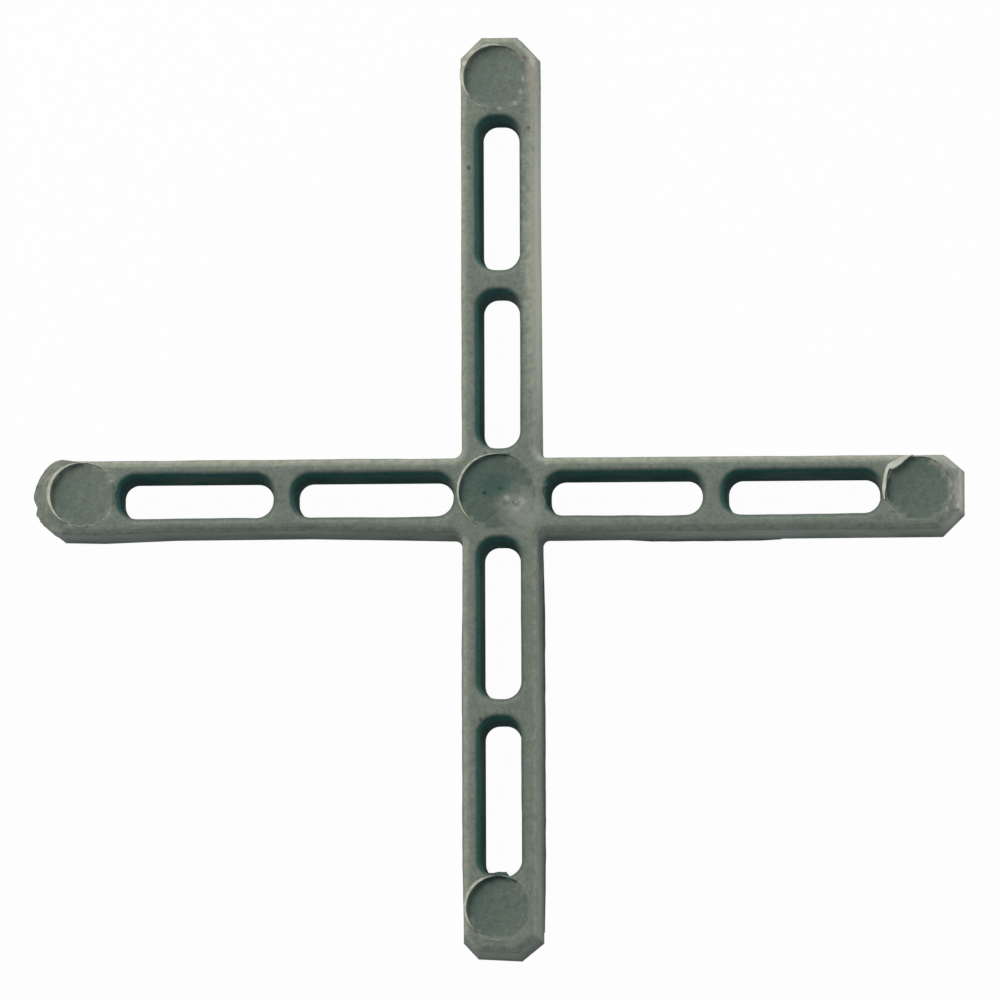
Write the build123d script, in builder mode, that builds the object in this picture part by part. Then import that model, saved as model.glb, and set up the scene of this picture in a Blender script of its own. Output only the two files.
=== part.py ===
"""Tile spacer: a flat cross with slotted arms, moulded in one piece.

Lengths are in millimetres and angles in degrees. The origin is the middle of the underside,
the arms run along X and Y, and +Z comes out of the face that the ejector pins have marked.
The mould parts at the underside, and sizes across an arm or a slot are given there.
"""

import os
from dataclasses import dataclass
from math import cos, radians, sin, tan

from build123d import *

# Arms
arm_reach = 29.0  # from the middle of the cross to the end of an arm
arm_width = 5.1
height = 4.5
end_clip = 1.3  # cut off each outer corner at 45 degrees
crotch_radius = 0.4  # where two arms meet
rim_radius = 0.5  # along the upper edge of the arms
draft = 2.0  # lean of every upright wall, so that the cross leaves its mould

# Slots
slots_per_arm = 2
rail_width = 1.43  # of the plastic beside a slot
hub_margin = 0.53  # from the side of the crossing arm to the first slot
slot_web = 1.66  # between two slots of an arm
slot_end_flat = 0.4  # straight stretch in the middle of a slot's end, between its round corners
slot_rim_bevel = 0.28  # along the upper edge of a slot

# Dents of the ejector pins, one in the hub and one near the end of each arm
pin_side_margin = 0.55  # from a pin to the side of its arm
pin_end_margin = 2.8  # from the centre of a pin to the end of its arm
pin_slot_margin = 0.5  # from a pin to the slot beside it
pin_depth = 0.2
hub_pin_diameter = 4.75
hub_pin_depth = 0.13
pins_off_x = -0.17  # the plate that holds the pins is this far out of line with the mould
pins_off_y = 0.2

# Flash that crept up one side of each pin
pin_play = 0.1  # between a pin and its hole, all round
pin_push = 0.12  # how far the flash pushed the pin over
flash_height = 0.25
flash_root = 0.5  # how deep the flash starts under the upper face

# Flap of flash that lies over the dent of the east pin
flap_spread = 0.14  # past the rim of the dent, away from the pin
flap_overhang = 0.2  # of its torn edge past the rim of the dent, over the dent
flap_tear_radius = 2.5
flap_angle = 121.0
flap_height = 0.22
flap_root = 0.1

# Gate scar in the hub's dent
gate_x = 1.45
gate_y = -0.95
gate_radius = 0.7
gate_height = 0.07
gate_slope = 0.3  # width of the cone's flank
gate_pit_radius = 0.13
gate_pit_depth = 0.15
gate_pits = ((0.93, -0.53), (1.34, -0.5))

# Plastic that spilt round the west end, where the mould stood open a little, with a chip out of it
spill_height = 2.0
spill_reach = 0.43  # past the end of the arm, north of the chip
spill_reach_south = 0.2
spill_bulge = 0.22  # past the clipped corner, north of the chip
spill_bulge_south = 0.09
spill_run = 0.3  # along the sides of the arm, past the clipped corners
spill_top_y = 0.6  # where the spill begins to turn round the north corner
chip_top_y = -0.13
chip_root_y = -0.6
chip_end_y = -0.97
chip_depth = 0.36

# Sizes that follow
slot_width = arm_width - 2 * rail_width
slot_start = arm_width / 2 + hub_margin
pin_radius = arm_width / 2 - pin_side_margin
pin_distance = arm_reach - pin_end_margin
slots_end = pin_distance - pin_radius - pin_slot_margin
slot_length = (slots_end - slot_start - slot_web * (slots_per_arm - 1)) / slots_per_arm
slot_pitch = slot_length + slot_web
arm_angles = (0, 90, 180, 270)


@dataclass
class PinMark:
    """Dent of one ejector pin, with the side on which flash rose beside the pin."""

    x: float
    y: float
    radius: float
    depth: float
    flash_angle: float

    @property
    def flash_way(self) -> Vector:
        """Level unit vector towards the thickest flash."""
        return Vector(cos(radians(self.flash_angle)), sin(radians(self.flash_angle)), 0)

    @property
    def floor(self) -> Plane:
        """Plane of the dent's floor, centred on the pin."""
        return Plane((self.x, self.y, height - self.depth))


def end_mark(arm_angle: float, slip: float, flash_angle: float) -> PinMark:
    """Mark near the end of the arm at arm_angle, moved outwards by slip."""
    along_x, along_y = cos(radians(arm_angle)), sin(radians(arm_angle))
    return PinMark(
        x=(pin_distance + slip) * along_x + pins_off_x * abs(along_y),
        y=(pin_distance + slip) * along_y + pins_off_y * abs(along_x),
        radius=pin_radius,
        depth=pin_depth,
        flash_angle=flash_angle,
    )


hub_mark = PinMark(pins_off_x, pins_off_y, hub_pin_diameter / 2, hub_pin_depth, flash_angle=160)
east_mark = end_mark(0, slip=0.05, flash_angle=150)
north_mark = end_mark(90, slip=0.1, flash_angle=150)
west_mark = end_mark(180, slip=0.0, flash_angle=172)
south_mark = end_mark(270, slip=-0.25, flash_angle=150)
pin_marks = (hub_mark, east_mark, north_mark, west_mark, south_mark)


def distance_from_middle(corner: Vertex) -> float:
    """Distance of a corner of the outline from the middle of the cross."""
    return round(Vector(corner.X, corner.Y).length, 3)


def cross_blank() -> Part:
    """The cross without its slots: leaning sides, clipped ends and fillets between the arms."""
    with BuildPart() as blank:
        with BuildSketch(Plane.XY) as outline:
            Rectangle(2 * arm_reach, arm_width)
            Rectangle(arm_width, 2 * arm_reach)
            chamfer(outline.vertices().group_by(distance_from_middle)[-1], end_clip)
            fillet(outline.vertices().group_by(distance_from_middle)[0], crotch_radius)
        extrude(amount=height, taper=draft)
    return blank.part


def slot_cores() -> Part:
    """Cores that leave the slots: round-ended, and wider towards the upper face."""
    with BuildPart() as cores:
        with BuildSketch(Plane.XY):
            for arm_angle in arm_angles:
                for number in range(slots_per_arm):
                    middle = slot_start + slot_length / 2 + number * slot_pitch
                    with PolarLocations(middle, 1, start_angle=arm_angle):
                        RectangleRounded(slot_length, slot_width, (slot_width - slot_end_flat) / 2)
        extrude(amount=height, taper=-draft)
    return cores.part


def flash_plug(mark: PinMark) -> Part:
    """Plug in the hole of one pin, as high as the flash on one side and buried on the other.

    The hole is wider than the pin, which was pushed away from the flash, so the pin's dent
    leaves a crescent of this plug standing.
    """
    hole_radius = mark.radius + pin_play
    push = pin_push * mark.flash_way
    with BuildPart() as plug:
        with BuildSketch(Plane((mark.x, mark.y, height - flash_root))):
            with Locations((push.X, push.Y)):
                Circle(hole_radius)
        extrude(amount=flash_root + 2 * flash_height)
        slope = Plane(
            origin=(mark.x, mark.y, height),
            z_dir=Vector(0, 0, hole_radius) - flash_height * mark.flash_way,
        )
        split(bisect_by=slope, keep=Keep.BOTTOM)
    return plug.part


def pin_dents() -> Part:
    """Everything that the pins pressed into the upper face and into the flash."""
    with BuildPart() as dents:
        for mark in pin_marks:
            with BuildSketch(mark.floor):
                Circle(mark.radius)
            extrude(amount=mark.depth + 2 * flash_height)
    return dents.part


def torn_flap() -> Part:
    """Flap of flash over the rim of the east dent, lens-shaped, with a bowed torn edge."""
    tear = pin_radius - flap_overhang
    flap_way = (cos(radians(flap_angle)), sin(radians(flap_angle)), 0)
    with BuildPart() as flap:
        with BuildSketch(Plane((east_mark.x, east_mark.y, height - flap_root), x_dir=flap_way)):
            Circle(pin_radius + flap_spread)
            with Locations((tear + flap_tear_radius, 0)):
                Circle(flap_tear_radius, mode=Mode.INTERSECT)
        extrude(amount=flap_root + flap_height)
    return flap.part


def gate_scar_pad() -> Part:
    """Low cone that the gate left in the hub's dent."""
    with BuildPart(Plane((gate_x, gate_y, height - hub_pin_depth))) as pad:
        Cone(
            bottom_radius=gate_radius,
            top_radius=gate_radius - gate_slope,
            height=gate_height,
            align=(Align.CENTER, Align.CENTER, Align.MIN),
        )
    return pad.part


def gate_scar_pits() -> Part:
    """Two small pits torn beside the gate."""
    with BuildPart() as pits:
        with Locations(*((x, y, height - hub_pin_depth) for x, y in gate_pits)):
            Cylinder(gate_pit_radius, 2 * gate_pit_depth)
    return pits.part


def end_spill() -> Part:
    """Spill round the west end, leaning as its walls do: round at the north corner and chipped."""
    end = -arm_reach
    side = arm_width / 2 - spill_bulge_south / 2
    start = end + end_clip + spill_run
    clip_x, clip_y = end + end_clip / 2, (arm_width - end_clip) / 2
    north_bulge = spill_bulge * sin(radians(45))
    south_bulge = spill_bulge_south * sin(radians(45))
    with BuildPart() as spill:
        with BuildSketch(Plane.XY):
            with BuildLine():
                corner = ThreePointArc(
                    (start, side),
                    (clip_x - north_bulge, clip_y + north_bulge),
                    (end - spill_reach, spill_top_y),
                )
                Polyline(
                    corner @ 1,
                    (end - spill_reach, chip_top_y),
                    (end - spill_reach + chip_depth, chip_root_y),
                    (end - spill_reach_south, chip_end_y),
                    (clip_x - south_bulge, -clip_y - south_bulge),
                    (start, -side),
                    corner @ 0,
                )
            make_face()
        extrude(amount=spill_height, taper=draft)
    return spill.part


with BuildPart() as cross_spacer:
    add(cross_blank())
    add(slot_cores(), mode=Mode.SUBTRACT)

    # The upper edges are rounded along the arms and bevelled round the slots
    upper_face = cross_spacer.faces().sort_by(Axis.Z)[-1]
    fillet(upper_face.outer_wire().edges(), rim_radius)
    upper_face = cross_spacer.faces().filter_by(Plane.XY).sort_by(Axis.Z)[-1]
    chamfer([edge for wire in upper_face.inner_wires() for edge in wire.edges()], slot_rim_bevel)

    # The pins dent the upper face and leave flash standing beside them
    for pin_mark in pin_marks:
        add(flash_plug(pin_mark))
    add(pin_dents(), mode=Mode.SUBTRACT)
    add(torn_flap())
    add(gate_scar_pad())
    add(gate_scar_pits(), mode=Mode.SUBTRACT)
    add(end_spill())

cross_spacer.part.label = "cross_spacer"
os.makedirs("parts", exist_ok=True)
export_step(cross_spacer.part, "parts/cross_spacer.step")
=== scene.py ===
import logging
from collections.abc import Callable, Iterator
from contextlib import contextmanager
from dataclasses import dataclass
from enum import Enum
from math import acos, atan2, cos, degrees, exp, pi, radians, sin, tan
from random import Random

import bmesh
import bpy
from bpy.types import Material, Node, NodeOutputs, NodeSocket, NodeTree, Object
from mathutils import Matrix, Vector


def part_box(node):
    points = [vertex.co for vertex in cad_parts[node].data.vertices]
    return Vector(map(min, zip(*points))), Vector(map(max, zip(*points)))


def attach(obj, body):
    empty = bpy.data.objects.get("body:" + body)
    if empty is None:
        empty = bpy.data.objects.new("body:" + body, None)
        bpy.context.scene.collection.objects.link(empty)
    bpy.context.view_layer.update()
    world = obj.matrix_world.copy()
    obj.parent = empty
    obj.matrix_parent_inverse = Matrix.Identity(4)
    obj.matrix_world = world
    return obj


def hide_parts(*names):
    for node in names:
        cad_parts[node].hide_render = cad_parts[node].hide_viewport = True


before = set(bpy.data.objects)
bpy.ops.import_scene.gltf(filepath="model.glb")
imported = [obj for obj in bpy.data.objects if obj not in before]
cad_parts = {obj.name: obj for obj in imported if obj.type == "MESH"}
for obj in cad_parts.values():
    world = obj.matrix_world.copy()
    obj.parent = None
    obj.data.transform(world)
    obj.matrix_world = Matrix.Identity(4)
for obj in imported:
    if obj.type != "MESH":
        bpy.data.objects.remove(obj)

log = logging.getLogger("tile_spacer")

Colour = tuple[float, float, float]
Place = tuple[float, float, float]
Spot = tuple[float, float]
Rung = tuple[Spot, Spot]
Measure = Callable[[Vector, Vector], float]  # takes the place and the normal of a point

MM = 0.001
NODE = "cross_spacer"
BODY = "root"
TIGHT = 1e-7  # distance under which two points are the same
SHARP_ANGLE = radians(40)  # of edges that are rounded
SMOOTH_ANGLE = radians(50)  # of edges that are still shaded smooth
UP = Vector((0, 0, 1))
ALONG_X, ALONG_Y = Vector((1, 0, 0)), Vector((0, 1, 0))
WAYS = (ALONG_X, ALONG_Y, -ALONG_X, -ALONG_Y)  # of the arms: east, north, west and south


class Pick(Enum):
    """What an edit-mode selection is made of."""

    VERTS = "VERT"
    EDGES = "EDGE"
    FACES = "FACE"


class Push(Enum):
    """Direction in which an uneven surface is moved."""

    INWARDS = "NORMAL"
    DOWN = "Z"


class Mask(Enum):
    """Float attributes that the finishes read from a mesh."""

    RIM = "rim"
    HOLLOW = "hollow"


# Plain sums


def clamped(value: float) -> float:
    """A value held between 0 and 1."""
    return max(0.0, min(1.0, value))


def ease(value: float) -> float:
    """A soft step from 0 to 1, for values from 0 to 1."""
    held = clamped(value)
    return held * held * (3 - 2 * held)


def bell(value: float, middle: float, spread: float) -> float:
    """A soft peak of 1 round a middle value."""
    return exp(-(((value - middle) / spread) ** 2))


def lean_of(normal: Vector) -> float:
    """Degrees by which a normal leans away from straight up."""
    return degrees(acos(max(-1.0, min(1.0, normal.z))))


def turn_between(first: float, second: float) -> float:
    """Smallest turn between two directions, in degrees."""
    return abs((first - second + 180) % 360 - 180)


def heading(angle: float) -> Vector:
    """Level unit vector at an angle in degrees from +X."""
    return Vector((cos(radians(angle)), sin(radians(angle)), 0))


def in_mm(*values: float) -> Vector:
    """A vector that is given in millimetres."""
    return Vector([value * MM for value in values])


def quarter_steps(radius: float, rows: int) -> list[Spot]:
    """Steps that walk round a quarter circle, from upright to level.

    Args:
        radius: Of the circle.
        rows: How many steps.

    Returns:
        The inward and the upward part of each step.
    """
    turns = [row * pi / 2 / rows for row in range(rows + 1)]
    return [
        (radius * (cos(low) - cos(high)), radius * (sin(high) - sin(low)))
        for low, high in zip(turns, turns[1:])
    ]


# Working by hand


def select_only(piece: Object) -> None:
    """Make a piece the only selected and the active one.

    Args:
        piece: Object that the next operators act on.
    """
    bpy.ops.object.select_all(action="DESELECT")
    piece.select_set(True)
    bpy.context.view_layer.objects.active = piece


@contextmanager
def editing(piece: Object, kind: Pick = Pick.FACES) -> Iterator[None]:
    """Keep a piece in edit mode for the length of a with block.

    Args:
        piece: Mesh to edit.
        kind: What its selections are made of.
    """
    select_only(piece)
    bpy.ops.object.mode_set(mode="EDIT")
    bpy.ops.mesh.select_mode(type=kind.value)
    try:
        yield
    finally:
        bpy.ops.object.mode_set(mode="OBJECT")


def pick(piece: Object, kind: Pick, test: Callable[[Vector], bool]) -> None:
    """Select, in edit mode, the elements whose middle passes a test.

    Args:
        piece: Mesh in edit mode.
        kind: What is selected.
        test: Takes the middle of an element and says whether it is wanted.
    """
    bpy.ops.mesh.select_mode(type=kind.value)
    bpy.ops.mesh.select_all(action="DESELECT")
    mesh = bmesh.from_edit_mesh(piece.data)
    if kind is Pick.VERTS:
        found = [vert for vert in mesh.verts if test(vert.co)]
    elif kind is Pick.EDGES:
        found = [edge for edge in mesh.edges if test((edge.verts[0].co + edge.verts[1].co) / 2)]
    else:
        found = [face for face in mesh.faces if test(face.calc_center_median())]
    for element in found:
        element.select_set(True)
    mesh.select_flush_mode()
    bmesh.update_edit_mesh(piece.data)


def settled(name: str) -> Object:
    """Name the object that was just added, and move its place and scale into its mesh.

    Args:
        name: Its name.

    Returns:
        The object, at the origin.
    """
    piece = bpy.context.object
    piece.name = name
    select_only(piece)
    bpy.ops.object.transform_apply(location=True, rotation=True, scale=True)
    return piece


def sheet(length: float, width: float, place: Place, name: str) -> Object:
    """Add a level rectangle, its sides along X and Y.

    Args:
        length: Size along X.
        width: Size along Y.
        place: Its middle.
        name: Name of the new object.

    Returns:
        The new object.
    """
    bpy.ops.object.select_all(action="DESELECT")
    bpy.ops.mesh.primitive_plane_add(size=1, location=place)
    bpy.context.object.scale = (length, width, 1)
    return settled(name)


def rod(centre: Spot, low: float, high: float, radius: float, name: str, flare: float = 0.0) -> Object:
    """Add an upright round rod, which may be wider at its foot.

    Args:
        centre: Where it stands.
        low: Height of its lower end.
        high: Height of its upper end.
        radius: At its upper end.
        name: Name of the new object.
        flare: How much wider it is at its lower end.

    Returns:
        The new object.
    """
    middle = (*centre, (low + high) / 2)
    bpy.ops.object.select_all(action="DESELECT")
    bpy.ops.mesh.primitive_cone_add(
        vertices=128, radius1=radius + flare, radius2=radius, depth=high - low, location=middle
    )
    return settled(name)


def modify(piece: Object, kind: str, name: str, **settings: object) -> None:
    """Change a mesh by a modifier, which is applied.

    Args:
        piece: Mesh to change.
        kind: Of the modifier.
        name: Of the modifier.
        settings: Its properties.
    """
    modifier = piece.modifiers.new(name, kind)
    for label, value in settings.items():
        setattr(modifier, label, value)
    select_only(piece)
    bpy.ops.object.modifier_apply(modifier=modifier.name)


def cut_with(piece: Object, tool: Object) -> None:
    """Take another mesh, which is used up, out of a piece.

    Args:
        piece: Mesh that is changed.
        tool: Mesh that cuts it.
    """
    modify(piece, "BOOLEAN", "cut", operation="DIFFERENCE", solver="EXACT", object=tool)
    select_only(tool)
    bpy.ops.object.delete()


def soften(piece: Object, width: float) -> None:
    """Round the sharp edges of a piece by a width."""
    modify(piece, "BEVEL", "soften", width=width, segments=3, limit_method="ANGLE", angle_limit=SHARP_ANGLE)


def slice_all(point: Vector, normal: Vector, **options: bool) -> None:
    """Cut the whole mesh that is in edit mode along a plane."""
    bpy.ops.mesh.select_all(action="SELECT")
    bpy.ops.mesh.bisect(plane_co=point, plane_no=normal, threshold=TIGHT, **options)


def slice_off(piece: Object, point: Vector, normal: Vector) -> None:
    """Cut away what lies on the side of a plane that its normal shows, and close the cut."""
    with editing(piece):
        slice_all(point, normal, use_fill=True, clear_outer=True)


def lay_grid(piece: Object, step: float, axes: tuple[Vector, ...] = (ALONG_X, ALONG_Y)) -> None:
    """Cut a mesh across at even steps, so that it can be shaped and shaded evenly.

    Args:
        piece: Mesh to cut.
        step: From one cut to the next.
        axes: Directions to step along.
    """
    places = [vert.co for vert in piece.data.vertices]
    with editing(piece):
        for axis in axes:
            low = min(place.dot(axis) for place in places)
            high = max(place.dot(axis) for place in places)
            for number in range(int(low / step) - 1, int(high / step) + 2):
                slice_all(axis * (number * step), axis)


def carry(piece: Object, start: Vector, end: Vector) -> None:
    """Move the corner of a mesh in edit mode that is at the start to the end."""
    pick(piece, Pick.VERTS, lambda spot: (spot - start).length < TIGHT)
    bpy.ops.transform.translate(value=end - start)


def ribbon(rungs: tuple[Rung, ...], level: float, name: str) -> Object:
    """Draw out a flat band, rung by rung.

    Args:
        rungs: Across the band, each with its right and its left end as one walks along.
        level: Height of the band.
        name: Name of the new object.

    Returns:
        The new object, which faces up.
    """
    side = 1 * MM
    lift = Vector((0, 0, side))
    piece = sheet(side, side, (0, 0, level), name)
    corners = ((-0.5, -0.5), (-0.5, 0.5), (0.5, -0.5), (0.5, 0.5))
    with editing(piece, Pick.VERTS):
        for (x, y), end in zip(corners, rungs[0] + rungs[1]):
            carry(piece, Vector((x * side, y * side, level)), Vector((*end, level)))
        for before, after in zip(rungs[1:], rungs[2:]):
            middle = (Vector(before[0]) + Vector(before[1])) / 2
            pick(piece, Pick.EDGES, lambda mid, middle=middle: (mid.xy - middle).length < TIGHT)
            bpy.ops.mesh.extrude_region_move(TRANSFORM_OT_translate={"value": lift})
            for old, new in zip(before, after):
                carry(piece, Vector((*old, level)) + lift, Vector((*new, level)))
    return piece


def thicken(piece: Object, amount: float) -> None:
    """Give a flat sheet a thickness, upwards.

    Args:
        piece: Sheet that faces up.
        amount: Its thickness.
    """
    with editing(piece):
        bpy.ops.mesh.select_all(action="SELECT")
        bpy.ops.mesh.extrude_region_move(TRANSFORM_OT_translate={"value": (0, 0, amount)})
        bpy.ops.mesh.select_all(action="SELECT")
        bpy.ops.mesh.normals_make_consistent(inside=False)


def sink(
    piece: Object, name: str, size: float, depth: float, share: Measure, push: Push = Push.INWARDS
) -> None:
    """Let a surface sink by uneven amounts.

    Args:
        piece: Mesh to change.
        name: Name of the pattern.
        size: Of its hills and hollows.
        depth: The most that a point sinks.
        share: Of the depth that a point takes.
        push: Which way points move.
    """
    group = piece.vertex_groups.new(name=name)
    for vert in piece.data.vertices:
        group.add([vert.index], clamped(share(vert.co, vert.normal)), "REPLACE")
    clouds = bpy.data.textures.new(name, "CLOUDS")
    clouds.noise_scale = size
    clouds.noise_depth = 2
    modify(
        piece,
        "DISPLACE",
        name,
        texture=clouds,
        texture_coords="LOCAL",
        direction=push.value,
        strength=depth,
        mid_level=1.0,
        vertex_group=group.name,
    )
    piece.vertex_groups.clear()


# Finishes


class Graph:
    """A node tree that is filled in step by step."""

    def __init__(self, tree: NodeTree) -> None:
        """Take the tree of a material, a world or a group."""
        self.tree = tree

    def node(self, kind: str, inputs: dict | None = None, **settings: object) -> Node:
        """Add a node.

        Args:
            kind: Its type, without the word ShaderNode.
            inputs: For each input by name or number, a value or the output that feeds it.
            settings: Its properties.

        Returns:
            The new node.
        """
        made = self.tree.nodes.new("ShaderNode" + kind)
        for name, value in settings.items():
            setattr(made, name, value)
        for key, value in (inputs or {}).items():
            self.feed(made.inputs[key], value)
        return made

    def feed(self, socket: NodeSocket, value: object) -> None:
        """Set an input to a value, or link an output to it.

        Args:
            socket: The input.
            value: A number, a colour, a vector or an output.
        """
        if isinstance(value, NodeSocket):
            self.tree.links.new(value, socket)
        elif socket.type == "RGBA":
            socket.default_value = (*value, 1)
        else:
            socket.default_value = value

    def math(self, operation: str, first: object, second: object = 0.0) -> NodeSocket:
        """A sum, product or other plain step on two numbers."""
        return self.node("Math", {0: first, 1: second}, operation=operation).outputs[0]

    def vector(self, operation: str, first: object, second: object) -> NodeSocket:
        """A plain step on two vectors, or on a vector and a scale."""
        other = "Scale" if operation == "SCALE" else 1
        return self.node("VectorMath", {0: first, other: second}, operation=operation).outputs[0]

    def spread(self, value: object, low: float, high: float, bottom: object, top: object) -> NodeSocket:
        """Map the numbers from low to high softly to those from bottom to top."""
        inputs = {"Value": value, "From Min": low, "From Max": high, "To Min": bottom, "To Max": top}
        return self.node("MapRange", inputs, interpolation_type="SMOOTHSTEP").outputs[0]

    def blend(self, share: object, first: object, second: object) -> NodeSocket:
        """Blend two colours, by the share of the second one."""
        inputs = {"Factor": share, 6: first, 7: second}
        return self.node("Mix", inputs, data_type="RGBA").outputs[2]

    def noise(self, place: object, scale: object, detail: float = 2.0, rough: float = 0.5) -> NodeSocket:
        """Soft random pattern of numbers from 0 to 1, with finer and rougher patterns on it."""
        inputs = {"Vector": place, "Scale": scale, "Detail": detail, "Roughness": rough}
        return self.node("TexNoise", inputs).outputs["Fac"]


class Socket(Enum):
    """Kinds of sockets that a shared effect has."""

    NUMBER = "NodeSocketFloat"
    COLOUR = "NodeSocketColor"
    VECTOR = "NodeSocketVector"


class Effect:
    """A shader node group that several finishes share."""

    name: str
    takes: dict[str, Socket]
    gives: dict[str, Socket] = {"Colour": Socket.COLOUR}

    @classmethod
    def fill(cls, inner: Graph, source: NodeOutputs) -> dict[str, NodeSocket]:
        """Put the nodes into the group, and say what it gives."""
        raise NotImplementedError

    @classmethod
    def group(cls) -> NodeTree:
        """Make the node group, once.

        Returns:
            The group.
        """
        made = bpy.data.node_groups.get(cls.name)
        if made:
            return made
        made = bpy.data.node_groups.new(cls.name, "ShaderNodeTree")
        for sockets, side in ((cls.takes, "INPUT"), (cls.gives, "OUTPUT")):
            for label, kind in sockets.items():
                made.interface.new_socket(label, in_out=side, socket_type=kind.value)
        inner = Graph(made)
        source = made.nodes.new("NodeGroupInput").outputs
        target = made.nodes.new("NodeGroupOutput").inputs
        for label, value in cls.fill(inner, source).items():
            inner.feed(target[label], value)
        return made

    @classmethod
    def place(cls, graph: Graph, **values: object) -> NodeOutputs:
        """Place the group in a material.

        Args:
            graph: Tree of the material.
            values: For each of its inputs, in lower case, a value or an output.

        Returns:
            The outputs of the placed group.
        """
        made = graph.tree.nodes.new("ShaderNodeGroup")
        made.node_tree = cls.group()
        for name, value in values.items():
            graph.feed(made.inputs[name.title()], value)
        return made.outputs


class Mottle(Effect):
    """Blotches, clouds and a fine grain, as in plastic from a rough mould."""

    name = "moulded_mottle"
    takes = {
        "Colour": Socket.COLOUR,
        "Place": Socket.VECTOR,
        "Blotch": Socket.NUMBER,
        "Cloud": Socket.NUMBER,
        "Warmth": Socket.NUMBER,
    }
    gives = {"Colour": Socket.COLOUR, "Height": Socket.NUMBER, "Patch": Socket.NUMBER}
    blotch_scale, grain_scale, cloud_scale, hue_scale = 2300, 6800, 330, 900
    warm = (1.0, 0.1, -0.9)  # what warmth adds to a colour

    @classmethod
    def fill(cls, inner: Graph, source: NodeOutputs) -> dict[str, NodeSocket]:
        """Put the nodes into the group.

        Args:
            inner: Tree of the group.
            source: What the group takes.

        Returns:
            The mottled colour, the height of the grain and the slow cloud.
        """
        place = source["Place"]
        blotch = inner.noise(place, cls.blotch_scale, 2.0, 0.6)
        grain = inner.noise(place, cls.grain_scale, 2.0, 0.65)
        cloud = inner.noise(place, cls.cloud_scale)
        hue = inner.noise(place, cls.hue_scale, 2.0, 0.6)
        both = inner.math("ADD", inner.math("MULTIPLY", blotch, 0.6), inner.math("MULTIPLY", grain, 0.7))
        wave = inner.math("MULTIPLY", inner.math("SUBTRACT", both, 0.65), source["Blotch"])
        drift = inner.math("MULTIPLY", inner.math("SUBTRACT", cloud, 0.5), source["Cloud"])
        level = inner.math("ADD", 1.0, inner.math("ADD", wave, drift))
        lit = inner.vector("SCALE", source["Colour"], level)
        tint = inner.math("MULTIPLY", inner.math("SUBTRACT", hue, 0.5), source["Warmth"])
        turn = inner.vector("ADD", inner.vector("SCALE", cls.warm, tint), (1.0, 1.0, 1.0))
        return {"Colour": inner.vector("MULTIPLY", lit, turn), "Height": both, "Patch": cloud}


class EdgeWearAndHighlight(Effect):
    """Paler, warmer colour along edges, broken into short dashes: rubbed plastic, and partly a painted
    highlight.
    """

    name = "edge_wear_and_highlight"
    takes = {
        "Colour": Socket.COLOUR,
        "Worn_And_Lit": Socket.COLOUR,
        "Edge": Socket.NUMBER,
        "Amount": Socket.NUMBER,
        "Place": Socket.VECTOR,
        "Scale": Socket.NUMBER,
    }

    @classmethod
    def fill(cls, inner: Graph, source: NodeOutputs) -> dict[str, NodeSocket]:
        """Put the nodes into the group.

        Args:
            inner: Tree of the group.
            source: What the group takes.

        Returns:
            The colour with its pale dashes.
        """
        broken = inner.noise(source["Place"], source["Scale"], 3.0, 0.6)
        dashes = inner.spread(broken, 0.36, 0.62, 0.35, 1.0)
        share = inner.math("MULTIPLY", inner.math("MULTIPLY", source["Edge"], dashes), source["Amount"])
        return {"Colour": inner.blend(share, source["Colour"], source["Worn_And_Lit"])}


class Flecks(Effect):
    """Small ragged flecks, dense in some places and absent in others."""

    name = "flecks"
    takes = {
        "Colour": Socket.COLOUR,
        "Fleck": Socket.COLOUR,
        "Place": Socket.VECTOR,
        "Scale": Socket.NUMBER,
        "Rarity": Socket.NUMBER,
        "Strength": Socket.NUMBER,
    }

    @classmethod
    def fill(cls, inner: Graph, source: NodeOutputs) -> dict[str, NodeSocket]:
        """Put the nodes into the group.

        Args:
            inner: Tree of the group.
            source: What the group takes.

        Returns:
            The flecked colour.
        """
        flake = inner.noise(source["Place"], source["Scale"], 2.0, 0.6)
        zone = inner.noise(source["Place"], inner.math("MULTIPLY", source["Scale"], 0.11), 1.0, 0.5)
        dense = inner.math("ADD", flake, inner.math("MULTIPLY", inner.math("SUBTRACT", zone, 0.5), 0.5))
        over = inner.math("SUBTRACT", dense, source["Rarity"])
        spot = inner.spread(over, 0.0, 0.07, 0.0, source["Strength"])
        return {"Colour": inner.blend(spot, source["Colour"], source["Fleck"])}


class StainAndLight(Effect):
    """One patch of colour with a ragged outline, which serves for stains and for painted light and shade."""

    name = "stain_and_light"
    takes = {
        "Colour": Socket.COLOUR,
        "Tint": Socket.COLOUR,
        "Place": Socket.VECTOR,
        "Centre": Socket.VECTOR,
        "Reach": Socket.VECTOR,
        "Strength": Socket.NUMBER,
    }
    ragged_scale = 2600

    @classmethod
    def fill(cls, inner: Graph, source: NodeOutputs) -> dict[str, NodeSocket]:
        """Put the nodes into the group.

        Args:
            inner: Tree of the group.
            source: What the group takes.

        Returns:
            The colour with the patch.
        """
        away = inner.vector("SUBTRACT", source["Place"], source["Centre"])
        scaled = inner.vector("DIVIDE", away, source["Reach"])
        distance = inner.node("VectorMath", {0: scaled}, operation="LENGTH").outputs["Value"]
        ragged = inner.math("MULTIPLY", inner.noise(source["Place"], cls.ragged_scale, 3.0, 0.6), 0.9)
        share = inner.spread(inner.math("ADD", distance, ragged), 0.65, 1.5, source["Strength"], 0.0)
        return {"Colour": inner.blend(share, source["Colour"], source["Tint"])}


@dataclass(frozen=True)
class StainAndLightSpot:
    """Where a patch lies and how far it reaches, in millimetres, and its colour; it serves for stains and for
    painted light and shade.
    """

    centre: Place
    reach: Place
    tint: Colour
    strength: float


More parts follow.
